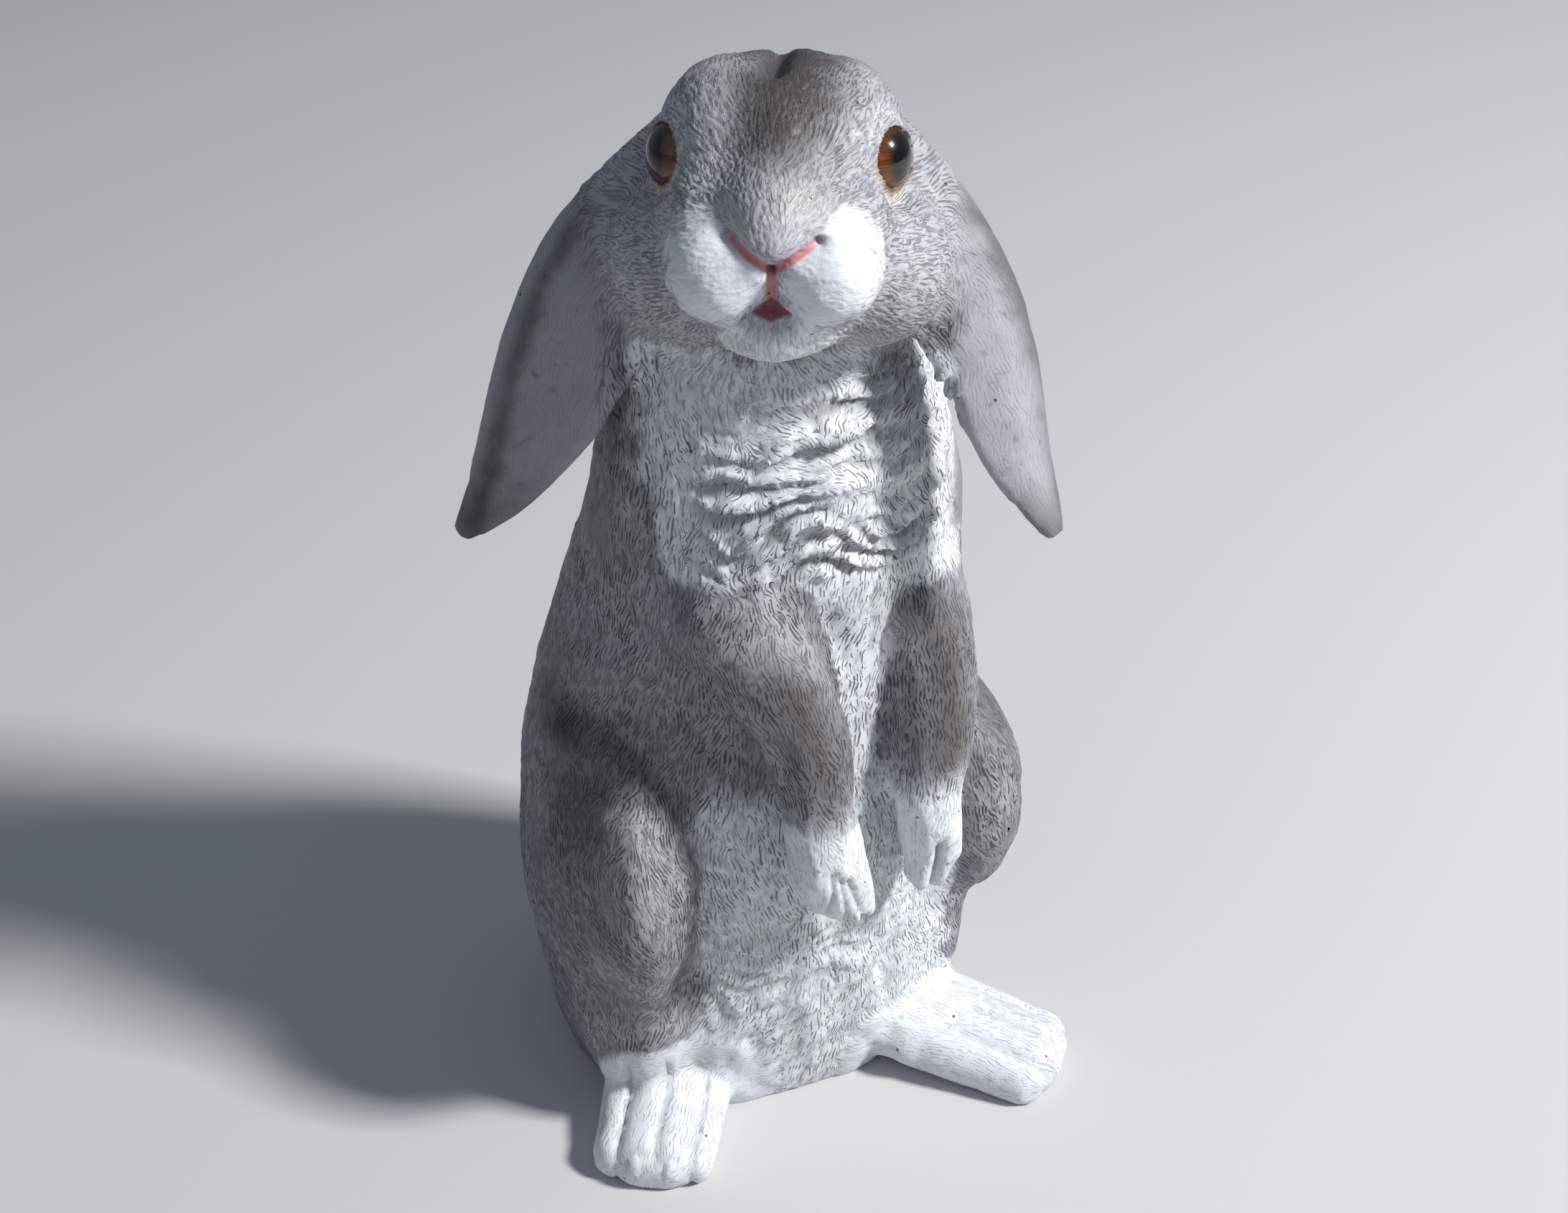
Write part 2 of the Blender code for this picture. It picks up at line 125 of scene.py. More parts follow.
def swell(points, size, seed):
    # smooth random rise and fall, -1 to 1, about size mm from hill to hill
    grid = points / size + seed * 13.7
    corner = np.floor(grid).astype(np.int64)
    part = grid - corner
    part = part * part * (3 - 2 * part)
    total = np.zeros(len(points))
    for step in np.ndindex(2, 2, 2):
        cell = corner + step
        mixed = cell[:, 0] * 73856093 ^ cell[:, 1] * 19349663 ^ cell[:, 2] * 83492791
        mixed = (mixed ^ (mixed >> 13)) * 1274126177
        value = ((mixed ^ (mixed >> 16)) & 0xFFFF) / 32767.5 - 1
        share = np.where(step, part, 1 - part).prod(axis=1)
        total += share * value
    return total


def headPoints(points):
    back = np.array(headPlace.inverted())
    return points @ back[:3, :3].T + back[:3, 3]


def toFigure(headVectors):
    return headVectors @ np.array(headTurn.to_3x3()).T


# Where each part of the figure lies, as shares from 0 to 1

limbs = {
    "rightArm": [(-38, -50, 214), (-29, -64, 190), (-25, -74, 163), (-25, -76, 146)],
    "leftArm": [(30, -44, 216), (29, -60, 186), (24, -68, 157), (20, -74, 142)],
    "rightPaw": [(-24, -78, 144), (-16, -76, 110)],
    "leftPaw": [(20, -74, 141), (19, -74, 108)],
    "rightFoot": [(-44, -18, 14), (-93, -69, 10)],
    "leftFoot": [(26, -36, 12), (74, -90, 8)],
    "rightHaunch": (-74, -4, 98),
    "leftHaunch": (63, -6, 96),
    "tail": (-39, 77, 29),
}


def figureShares(points):
    y, z = points.T[1:]
    head = headPoints(points)
    shares = {}
    skull = ramp(68, 58, np.linalg.norm(head - (0, -8, 0), axis=1))
    lobes = ramp(52, 60, np.abs(head[:, 0])) * ramp(-130, -120, head[:, 2]) * ramp(60, 40, head[:, 2])
    lobes = lobes * ramp(58, 68, np.linalg.norm(points[:, :2] - (-4, 4), axis=1))
    shares["ears"] = lobes
    shares["head"] = skull * (1 - lobes)
    for name in ("rightArm", "leftArm"):
        shares[name] = ramp(25, 15, pathDistance(points, limbs[name])) * ramp(222, 210, z)
    for name, reach in (("rightPaw", 21), ("leftPaw", 17), ("rightFoot", 32), ("leftFoot", 32)):
        shares[name] = ramp(reach + 4, reach - 2, pathDistance(points, limbs[name]))
    shares["rightFoot"] = shares["rightFoot"] * ramp(47, 38, z) * ramp(-14, -26, y)
    shares["leftFoot"] = shares["leftFoot"] * ramp(34, 27, z) * ramp(-32, -42, y)
    shares["feet"] = np.maximum(shares["rightFoot"], shares["leftFoot"])
    shares["arms"] = np.maximum(shares["rightArm"], shares["leftArm"])
    ragged = 2.5 * swell(points, 5, 17)
    rightPaw = shares["rightPaw"] * ramp(153, 146, z + ragged) * ramp(-60, -67, y)
    leftPaw = shares["leftPaw"] * ramp(148, 141, z + ragged) * ramp(-56, -63, y)
    shares["paws"] = np.maximum(rightPaw, leftPaw)
    shares["tail"] = ramp(36, 30, np.linalg.norm(points - limbs["tail"], axis=1))
    flat = np.hypot((np.abs(head[:, 0] - 1.5) - 16.5) / 16.5, (head[:, 2] + 6) / 17.5)
    ragged = 0.12 * swell(points, 6, 18) + 0.12 * swell(points, 2.0, 19)
    noseLine = np.interp(head[:, 0], [-12.5, 0.5, 14], [4, -5.5, 2.5])
    beside = np.abs(head[:, 0] - 0.8) - 12.5 - 0.7 * np.maximum(head[:, 2] - 3, 0)
    nose = ramp(-1, 1.2, head[:, 2] - noseLine) * ramp(2.5, -2, beside + 14 * ragged)
    shares["nose"] = nose * ramp(16, 10, head[:, 2]) * ramp(-40, -46, head[:, 1])
    shares["pads"] = ramp(1.3, 0.66, flat + 1.3 * ragged) * ramp(-36, -42, head[:, 1]) * (1 - nose)
    chin = np.hypot((head[:, 0] - 2) / 19, (head[:, 2] + 32) / 12)
    shares["chin"] = ramp(1.2, 0.7, chin + ragged) * ramp(-22, -32, head[:, 1])
    shares["seen"] = ramp(-40, 0, points @ (-0.35, -0.85, 0.25) - 40)
    return shares, head


# Lie of the fur: which way a chisel stroke runs at each point, along the skin

def furLie(points, normals, shares, head):
    x, y, z = points.T
    lie = np.zeros_like(points)
    lie[:, 2] = -1
    lie[:, 0] = 0.45 * swell(points, 46, 1) + 0.012 * x * ramp(120, 20, z)
    thighs = ramp(150, 100, z) * ramp(45, 60, np.abs(x + 6)) * ramp(30, 0, y)
    lie[:, 1] = 0.35 * swell(points, 52, 2) - 0.55 * thighs
    chest = ramp(-25, -45, y) * ramp(226, 240, z)
    lie[:, 0] += chest * 1.5 * swell(points, 21, 3)
    fromNose = toFigure(head - (0, -64, -2))
    lie = lie * (1 - shares["head"][:, None]) + unit(fromNose) * shares["head"][:, None]
    outward = np.stack((np.sign(head[:, 0]), 0 * x + 0.35, -0.25 - 0.006 * head[:, 2]), axis=1)
    outward = toFigure(outward)
    lie = lie * (1 - shares["pads"][:, None]) + outward * shares["pads"][:, None]
    droop = np.clip((20 - head[:, 2]) / 60, 0, 1)
    downEar = np.stack((np.sign(head[:, 0]) * (0.95 - 0.7 * droop), 0 * x, -0.45 - 0.5 * droop), axis=1)
    lie = lie * (1 - shares["ears"][:, None]) + toFigure(downEar) * shares["ears"][:, None]
    for name, run in (("rightArm", (0.18, -0.35, -1)), ("leftArm", (-0.12, -0.35, -1)),
                      ("rightFoot", (-0.59, -0.8, -0.1)), ("leftFoot", (0.65, -0.76, -0.1))):
        lie = lie * (1 - shares[name][:, None]) + np.array(run) * shares[name][:, None]
    lie -= normals * (lie * normals).sum(axis=1, keepdims=True)
    return unit(lie)


# Chisel strokes: each tool leaves short curved grooves, one from each cell of the skin

tools = {
    "coat": {"cell": 2.8, "length": 8.0, "width": 0.62, "depth": 0.6, "ink": 1.0, "seed": 11},
    "chest": {"cell": 3.1, "length": 9.5, "width": 0.65, "depth": 1.0, "ink": 0.9, "seed": 12},
    "fine": {"cell": 2.2, "length": 4.8, "width": 0.5, "depth": 0.38, "ink": 0.95, "seed": 13},
    "ears": {"cell": 4.0, "length": 5.0, "width": 0.5, "depth": 0.25, "ink": 0.9, "seed": 14},
    "pads": {"cell": 2.2, "length": 4.5, "width": 0.5, "depth": 0.3, "ink": 0.15, "seed": 15},
}


def toolShares(points, shares):
    y, z = points.T[1:]
    whole = 1 - shares["ears"]
    arms = shares["arms"] * ramp(-38, -50, y)
    soft = np.maximum.reduce([shares["head"], arms, shares["paws"], shares["feet"]])
    chest = ramp(-20, -40, y) * ramp(224, 236, z) * (1 - shares["head"])
    ground = ramp(0.5, 3, z)
    bare = (1 - shares["feet"] * 0.9) * (1 - shares["paws"] * 0.8) * (1 - shares["pads"])
    return {
        "coat": whole * (1 - soft) * (1 - chest) * ground,
        "chest": whole * chest,
        "fine": whole * soft * bare * ground,
        "ears": shares["ears"] * 0.45,
        "pads": shares["pads"],
    }


def cellOf(points, cell):
    at = np.floor(points / cell).astype(np.int64) + 400
    return at[:, 0] + 1024 * (at[:, 1] + 1024 * at[:, 2]), at


def layStrokes(points, normals, lie, shares):
    strokes = []
    for name, tool in tools.items():
        dice = np.random.default_rng(tool["seed"])
        order = dice.permutation(len(points))
        keys, _ = cellOf(points[order], tool["cell"])
        picked = order[np.unique(keys, return_index=True)[1]]
        picked = picked[dice.random(len(picked)) < shares[name][picked]]
        turn = dice.normal(0, 0.16, len(picked))[:, None]
        normal = normals[picked]
        along = lie[picked] * np.cos(turn) + np.cross(normal, lie[picked]) * np.sin(turn)
        strokes.append({
            "tool": tool, "at": points[picked], "normal": normal, "along": along,
            "across": np.cross(normal, along), "bend": dice.normal(0, 0.035, len(picked)),
            "length": tool["length"] * dice.uniform(0.65, 1.3, len(picked)),
            "depth": dice.uniform(0.55, 1.1, len(picked)),
        })
    return strokes


def pressStrokes(points, strokes):
    # depth in mm and ink from 0 to 1 at each point
    cell = 2.6
    keys, _ = cellOf(points, cell)
    order = np.argsort(keys, kind="stable")
    keys = keys[order]
    depth = np.zeros(len(points))
    ink = np.zeros(len(points))
    for group in strokes:
        tool = group["tool"]
        reach = tool["length"] * 0.65 + 1.4
        span = math.ceil(reach / cell)
        _, at = cellOf(group["at"], cell)
        for step in np.ndindex((2 * span + 1,) * 3):
            offset = np.array(step) - span
            if (np.linalg.norm(offset) - 1.3) * cell > reach:
                continue
            near = at + offset
            wanted = near[:, 0] + 1024 * (near[:, 1] + 1024 * near[:, 2])
            first = np.searchsorted(keys, wanted, "left")
            count = np.searchsorted(keys, wanted, "right") - first
            which = np.repeat(np.arange(len(wanted)), count)
            if not len(which):
                continue
            within = np.arange(len(which)) - np.repeat(np.cumsum(count) - count, count)
            point = order[np.repeat(first, count) + within]
            away = points[point] - group["at"][which]
            run = (away * group["along"][which]).sum(axis=1)
            side = (away * group["across"][which]).sum(axis=1) - group["bend"][which] * run * run
            half = group["length"][which] / 2
            close = (np.abs(side) < 2.0) & (np.abs(run) < half)
            point, which, half = point[close], which[close], half[close]
            run, side = run[close], side[close]
            rise = np.abs((away[close] * group["normal"][which]).sum(axis=1))
            share = run / half
            taper = np.clip((1 - share * share) * (1 - 0.35 * share), 0, 1) * (rise < 3.2)
            groove = bell(side, tool["width"] * (0.75 + 0.25 * taper)) * taper * group["depth"][which]
            np.maximum.at(depth, point, groove * tool["depth"])
            np.maximum.at(ink, point, groove * tool["ink"])
    return depth, ink


# The casting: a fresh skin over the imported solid, smoothed, then carved

castingSizes = {
    "grain": 0.00125,  # voxel of the fresh skin, metres; subdivided once after it
    "facePasses": 5,
    "bodyPasses": 14,
    "triangles": 192000,
    "eyePlug": 12.3,  # fills each socket before the lids are opened, mm
    "lidRise": 0.9,  # how far the lids stand over the glass, mm
    "lidAhead": 1.2,  # how far the opening sits towards the nose
    "lidHalfWidth": 9.3,
    "lidHalfHeight": 9.2,
    "eyeBall": 11.5,
    "chestLocks": 5.2,
    "bellyLocks": 1.7,
    "toeGroove": 1.4,
    "toeFill": 0.7,
    "footSide": 1.8,
    "thighRim": 3.0,
}
faceLines = (
    ([(-12.5, 4), (-6.5, -0.5), (0.5, -5.5)], 1.1, 1.5),
    ([(14, 2.5), (7, -1.5), (0.5, -5.5)], 1.1, 1.5),
    ([(0.5, -5.5), (0, -16)], 1.0, 1.5),
)
footWidth = 45
toeGrooves = (-0.33, -0.04, 0.27)
toeMiddles = (-0.19, 0.115)
feet = (((-28, 20), (-93, -69)), ((10, -14), (74, -90)))
pawGrooves = (
    ((-27, 148), ((-24, 112), (-16, 106), (-8, 101))),
    ((20, 142), ((19, 104), (19, 108))),
)
creases = (
    (
        (-86, 3, 172), (-79, -14, 171), (-71, -28, 162), (-63, -40, 144),
        (-58, -46, 124), (-59, -49, 106), (-65, -50, 88), (-71, -44, 60),
    ),
    ((49, -40, 150), (46, -46, 120), (44, -48, 90), (43, -44, 62)),
    ((-12, -54, 214), (-6, -58, 190), (-4, -60, 168), (-8, -60, 150)),
)
thighMiddle = (-90, -12, 112)
earFold = ((44, 16), (64, -8), (77, -31), (85, -54), (91, -80), (100, -114))


def mouthShare(flat):
    # the small open triangle under the lips, point up
    across = np.abs(flat[:, 0])
    inside = np.minimum(-16.2 - 0.7 * across - flat[:, 1], flat[:, 1] + 23.5 - 0.48 * across)
    return ramp(-0.5, 0.5, inside)


def lockRows(points, spacing, warp, seed):
    # rows of overlapping locks: each swells downwards and ends in a ragged lip
    x, y, z = points.T
    bent = z + warp * swell(points, 34, seed) + 0.35 * warp * swell(points, 12, seed + 1)
    bent = bent + 4 * np.sin(x / 9)
    share = 1 - bent / spacing % 1
    return share ** 1.4 * ramp(1, 0.86, share) - 0.4


def lidEdge(wide, high):
    # 1 on the edge of the opening between the lids, less inside it, squared
    sizes = castingSizes
    return (np.abs(wide) / sizes["lidHalfWidth"]) ** 2 + (np.abs(high) / sizes["lidHalfHeight"]) ** 1.5


def eyeFrames():
    frames = {}
    for name, side in eyeNames.items():
        low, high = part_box(name)
        centre = np.array((low + high) / 2) * 1000 - figureShift
        out = unit(toFigure(np.array((side, -0.5, 0.12))))
        up = toFigure(np.array((0, 0, 1.0)))
        up = unit(up - out * (up @ out))
        frames[name] = (centre, out, up, np.cross(out, up) * side)
    return frames


def freshSkin():
    sizes = castingSizes
    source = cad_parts["rabbit_casting"]
    casting = source.copy()
    casting.data = source.data.copy()
    casting.name = casting.data.name = "painted_rabbit"
    casting.parent = None
    for key in list(casting.keys()):
        del casting[key]
    bpy.context.scene.collection.objects.link(casting)
    pickOnly(casting)
    bpy.ops.object.mode_set(mode="EDIT")
    bpy.ops.mesh.select_all(action="SELECT")
    bpy.ops.mesh.remove_doubles(threshold=0.00001)
    bpy.ops.object.mode_set(mode="OBJECT")
    plugs = []
    for centre, *_ in eyeFrames().values():
        deselectAll()
        at = Vector((centre + figureShift) / 1000)
        radius = sizes["eyePlug"] / 1000
        bpy.ops.mesh.primitive_uv_sphere_add(segments=40, ring_count=24, radius=radius, location=at)
        bpy.ops.object.transform_apply(location=True, rotation=True, scale=True)
        plugs.append(bpy.context.object)
    deselectAll()
    for obj in (*plugs, casting):
        obj.select_set(True)
    bpy.context.view_layer.objects.active = casting
    bpy.ops.object.join()
    casting.data.materials.clear()
    applyModifier(casting, "REMESH", mode="VOXEL", voxel_size=sizes["grain"], adaptivity=0)
    applyModifier(casting, "SMOOTH", factor=0.5, iterations=sizes["facePasses"])
    points, _ = readSkin(casting)
    shares, _ = figureShares(points)
    plain = 1 - np.maximum.reduce([shares["head"], shares["ears"], shares["feet"], shares["paws"]])
    group = casting.vertex_groups.new(name="plain")
    steps = np.round(plain * 4) / 4
    for step in np.unique(steps[steps > 0]):
        group.add(np.flatnonzero(steps == step).tolist(), float(step), "REPLACE")
    applyModifier(casting, "SMOOTH", factor=0.5, iterations=sizes["bodyPasses"], vertex_group="plain")
    casting.vertex_groups.clear()
    # the usual quality of 3 takes 6 GB of memory here
    applyModifier(casting, "SUBSURF", levels=1, render_levels=1, quality=1)
    return casting


def openLids(points):
    sizes = castingSizes
    for centre, out, up, ahead in eyeFrames().values():
        away = points - centre
        rise, high, wide = away @ out, away @ up, away @ ahead
        radius = np.hypot(high, wide)
        near = (radius < 19) & (rise > 0)
        wide = wide - sizes["lidAhead"]
        opening = lidEdge(wide, high)
        gap = (np.sqrt(opening) - 1) * sizes["lidHalfHeight"]
        lid = np.sqrt((sizes["eyeBall"] + sizes["lidRise"]) ** 2 - np.minimum(radius, 10.2) ** 2)
        lid = lid - 0.85 * np.maximum(radius - 10.2, 0)
        ball = np.sqrt(np.clip(sizes["eyeBall"] ** 2 - radius ** 2, 0, None))
        hold = ramp(6.5, 0.6, gap)
        wanted = rise * (1 - hold) + lid * hold
        wanted += 0.45 * bell(gap - 1.2, 0.9) - 0.45 * bell(gap - 3.6, 1.1)
        sunk = ramp(0.15, -0.35, gap)
        wanted = wanted * (1 - sunk) + (ball - 2.6) * sunk
        points = points + np.where(near, (wanted - rise) * ramp(19, 15, radius), 0)[:, None] * out
    return points


def carveFace(points, head):
    flat = head[:, [0, 2]]
    front = ramp(-36, -44, head[:, 1])
    back = np.zeros(len(points))
    for path, width, depth in faceLines:
        back += depth * front * bell(pathDistance(flat, path), width)
    for tip in (faceLines[0][0][0], faceLines[1][0][0]):
        back += 1.6 * front * bell(np.hypot(*(flat - tip).T), 1.5)
    back += 2.6 * front * mouthShare(flat) * ramp(-23, -17, flat[:, 1])
    crown = 2.2 * ramp(28, 36, head[:, 2]) * bell(head[:, 0] + 1.5, 3.4)
    crown = crown * ramp(-16, -4, head[:, 1]) * ramp(52, 40, head[:, 1])
    inwards, upwards = toFigure(np.eye(3)[1:])
    return back[:, None] * inwards - crown[:, None] * upwards


def carveDetail(points, shares):
    x, y, z = points.T
    sizes = castingSizes
    rise = np.zeros(len(points))
    low = ramp(40, 30, z)
    for heel, toe in feet:
        heel, toe = np.array(heel, float), np.array(toe, float)
        run = (toe - heel) / np.linalg.norm(toe - heel)
        across = np.array((run[1], -run[0]))
        for place in toeGrooves:
            middle = toe + across * place * footWidth
            away = pathDistance(points[:, :2], [middle + run * 6, middle - run * 40])
            tip = ramp(-9, -1, (points[:, :2] - toe) @ run)
            fill = sizes["toeFill"] * (1 + 0.6 * tip)
            cut = sizes["toeGroove"] * (1 - 0.8 * tip)
            rise += low * (fill * bell(away, 2.4) - cut * bell(away, 1.1))
        wide = np.abs((points[:, :2] - toe) @ across)
        rise += sizes["footSide"] * shares["feet"] * ramp(11, 19, wide) * ramp(38, 26, wide)
        for place in toeMiddles:
            claw = toe + across * place * footWidth - run * 1.5
            away = points[:, :2] - claw
            oval = np.hypot((away @ run) / 3.4, (away @ across) / 2.3)
            rise += low * ramp(5, 9, z) * (0.55 * ramp(1.1, 0.8, oval) - 0.5 * bell(oval - 1.25, 0.22))
    front = ramp(-58, -66, y) * ramp(150, 144, z)
    for wrist, tips in pawGrooves:
        for tip in tips:
            start = (wrist[0] * 0.6 + tip[0] * 0.4, wrist[1] * 0.6 + tip[1] * 0.4)
            rise -= 0.9 * front * bell(pathDistance(points[:, [0, 2]], [start, tip]), 1.0)
    for path in creases:
        rise -= 1.5 * ramp(6, -8, y) * bell(pathDistance(points, path), 3.4)
    rim = [np.array(at) + 10 * unit(np.array(thighMiddle) - at) for at in creases[0]]
    rise += sizes["thighRim"] * bell(pathDistance(points, rim), 9)
    bare = (1 - shares["head"]) * (1 - shares["ears"]) * (1 - shares["feet"]) * (1 - shares["paws"])
    chest = ramp(-26, -42, y) * ramp(228, 238, z) * ramp(312, 298, z) * ramp(60, 46, np.abs(x + 4))
    waves = np.clip(0.75 + 0.9 * swell(points, 24, 6), 0.25, 1.3) * ramp(334, 292, z)
    locks = sizes["chestLocks"] * waves * lockRows(points, 12, 16, 31)
    rise += bare * chest * (locks + 0.9 * lockRows(points, 6, 9, 35))
    belly = ramp(-22, -40, y) * ramp(136, 108, z) * ramp(2, 12, z) * ramp(60, 44, np.abs(x + 8))
    waves = sizes["bellyLocks"] * (0.7 + 0.6 * swell(points, 22, 9))
    rise += bare * belly * waves * lockRows(points, 9.5, 12, 33)
    lumps = 0.45 * swell(points * (1, 1, 0.55), 8, 7) + 0.5 * swell(points, 17, 10)
    rise += bare * ramp(1, 8, z) * lumps
    rise += shares["ears"] * 0.3 * swell(points, 8, 8)
    return rise


# Lowest height of the white chest, from the figure's right to its left; it dips between the arms
chestEdge = (
    (-70, 233), (-24, 236), (-14, 223), (-9, 204), (-6.5, 190), (-4, 148),
    (7, 150), (10, 203), (14, 216), (22, 220), (70, 219),
)


def paintShares(points, shares, head):
    x, y, z = points.T
    ragged = 3.0 * swell(points, 7, 21) + 1.6 * swell(points, 2.6, 22)
    body = (1 - shares["head"]) * (1 - shares["ears"])
    low = np.interp(x, *zip(*chestEdge))
    throat = ramp(-32, -42, head[:, 2]) * (1 - shares["ears"])
    chest = ramp(-5, 4, z + ragged - low) * ramp(64, 52, np.abs(x + 3) + 1.6 * ragged) * ramp(8, -8, y)
    chest = chest * ramp(320, 304, z + 2 * ragged) * np.maximum(body, throat)
    belly = ramp(-20, -32, y) * ramp(168, 130, z + ragged)
    belly = belly * ramp(-64, -52, x + ragged) * ramp(54, 44, x + ragged)
    belly = belly * (0.95 + 0.05 * ramp(110, 50, z + 2 * ragged)) * body
    pale = np.maximum(shares["pads"], shares["chin"] * 0.8)
    pale = np.maximum(pale, 0.25 * shares["nose"])
    side = np.abs(head[:, 0])
    haze = ramp(30, 12, np.linalg.norm((head - (0, -30, -4)) * (0, 1, 1), axis=1))
    haze = haze * ramp(20, 36, side) * shares["head"]
    brows = bell(np.hypot(side - 24, head[:, 2] - 27), 12) * ramp(20, 0, head[:, 1]) * shares["head"]
    pale = np.maximum(pale, np.maximum(0.22 * haze, 0.22 * brows))
    lids = np.zeros(len(points))
    stain = np.zeros(len(points))
    cream = np.zeros(len(points))
    for centre, out, up, ahead in eyeFrames().values():
        away = points - centre
        high, wide, rise = away @ up, away @ ahead - castingSizes["lidAhead"], away @ out
        spread = np.hypot(wide / 13.5, (high - 1.5) / 17)
        lids = np.maximum(lids, 0.36 * ramp(1.2, 0.75, spread + ragged / 40) * (rise > 0))
        edge = np.sqrt(lidEdge(wide, high)) + ragged / 60
        under = ramp(2, -6, high)
        tear = ramp(1.1 + 0.1 * under, 1.0, edge) * (0.45 + 0.5 * under)
        stain = np.maximum(stain, tear * (rise > 0))
        cream = np.maximum(cream, 0.7 * ramp(1.5, 1.2, edge) * under * (rise > 0))
    white = np.maximum.reduce([
        chest, belly, pale, lids, shares["paws"], shares["feet"], shares["tail"] * 0.95,
        0.9 * ramp(10, 4, z + ragged) * ramp(-20, -34, y),
    ])
    brown = bell(head[:, 0] - 3 + ragged, 15) * ramp(15, 32, head[:, 2]) * shares["head"]
    for name, width in (("rightArm", 12), ("leftArm", 13)):
        spine = pathDistance(points, [(p[0], p[1] - 14, p[2]) for p in limbs[name]])
        brown = np.maximum(brown, 0.95 * bell(spine, width) * ramp(146, 160, z) * ramp(222, 200, z))
    for at in ((-84, -17, 130), (70, -18, 130)):
        brown = np.maximum(brown, 0.75 * bell(np.linalg.norm((points - at) * (1, 1, 0.5), axis=1), 21))
    dark = np.zeros(len(points))
    # dark patches where the haunch tops meet the flanks: partly airbrushed paint, partly painted shade
    # in that crease
    for at in ((-88, 2, 163), (74, 2, 157)):
        dark = np.maximum(dark, 0.9 * bell(np.linalg.norm((points - at) * (0.7, 0.7, 1.5), axis=1), 15))
    # painted shade: the feet are painted darker along their lowest 5 mm, at the ground line
    dark = np.maximum(dark, 0.6 * shares["feet"] * ramp(5, 1.5, z + ragged))
    # painted shade: the coat is painted darker along the thigh and arm creases
    for path in creases:
        near = bell(pathDistance(points, path) + ragged / 2, 5.5)
        dark = np.maximum(dark, 0.35 * ramp(6, -8, y) * near)
    fold = pathDistance(np.stack((side, head[:, 2]), axis=1), earFold)
    dark = np.maximum(dark, 0.75 * shares["ears"] * bell(fold + ragged / 2, 5))
    brown = np.maximum(brown, shares["ears"] * 0.6 * ramp(-84, -108, head[:, 2] + ragged))
    # painted shade: the ear on the figure's right, the side away from the key light, is painted darker
    dark = np.maximum(dark, 0.3 * shares["ears"] * ramp(-20, -44, head[:, 0] + 2 * ragged))
    crown = ramp(32, 42, head[:, 2] + 0.25 * np.maximum(side - 10, 0) + ragged)
    crown = crown * ramp(-6, 16, head[:, 1])
    brow = bell(head[:, 0] - 2 + ragged, 11) * ramp(20, 30, head[:, 2])
    dark = np.maximum(dark, shares["head"] * np.maximum(0.4 * crown, 0.35 * brow))
    flat = head[:, [0, 2]]
    front = ramp(-40, -46, head[:, 1])
    lips = np.zeros(len(points))
    for path, *_ in faceLines:
        away = pathDistance(flat, path)
        thick = 1.45 - 0.7 * ramp(5, 14, np.abs(head[:, 0] - 0.5))
        lips = np.maximum(lips, ramp(thick + 0.45, thick - 0.35, away) * front)
    for tip in (faceLines[0][0][0], faceLines[1][0][0]):
        dark = np.maximum(dark, front * ramp(2.0, 0.9, np.hypot(*(flat - tip).T)))
    lips = lips * (1 - 0.8 * dark * front)
    bridge = np.linalg.norm((head - (5, -52, 14)) * (0.7, 0.6, 1), axis=1)
    cream = np.maximum(cream, 0.35 * bell(bridge, 5))
    marks = (1 - 0.1 * chest - 0.15 * belly - 0.3 * shares["head"]) * (1 - 0.65 * shares["nose"])
    for name, less in (("ears", 0.87), ("feet", 0.7), ("paws", 0.65), ("pads", 0.9), ("chin", 0.5)):
        marks = marks * (1 - less * shares[name])
    marks = marks * (1 - 0.6 * lids)
    # darker in the deeper hollows of the carved relief: partly the real wash, partly painted shade in
    # the folds
    hollowWashAndShade = ramp(0.0, -1.6, carveDetail(points, shares))
    return {
        "paintWhite": white, "paintBrown": brown, "paintDarkAndShade": dark, "paintPink": lips,
        "paintMouth": mouthShare(flat) * front, "paintStain": stain, "paintCream": cream,
        "paintGlaze": np.maximum(shares["ears"], 0.8 * shares["head"] * (1 - brown)),
        "furMarks": marks, "hollowWashAndShade": hollowWashAndShade,
    }


def addValues(mesh, name, values):
    kind = "FLOAT_VECTOR" if values.ndim == 2 else "FLOAT"
    layer = mesh.attributes.new(name, kind, "POINT")
    layer.data.foreach_set("vector" if values.ndim == 2 else "value", values.astype(np.float32).ravel())


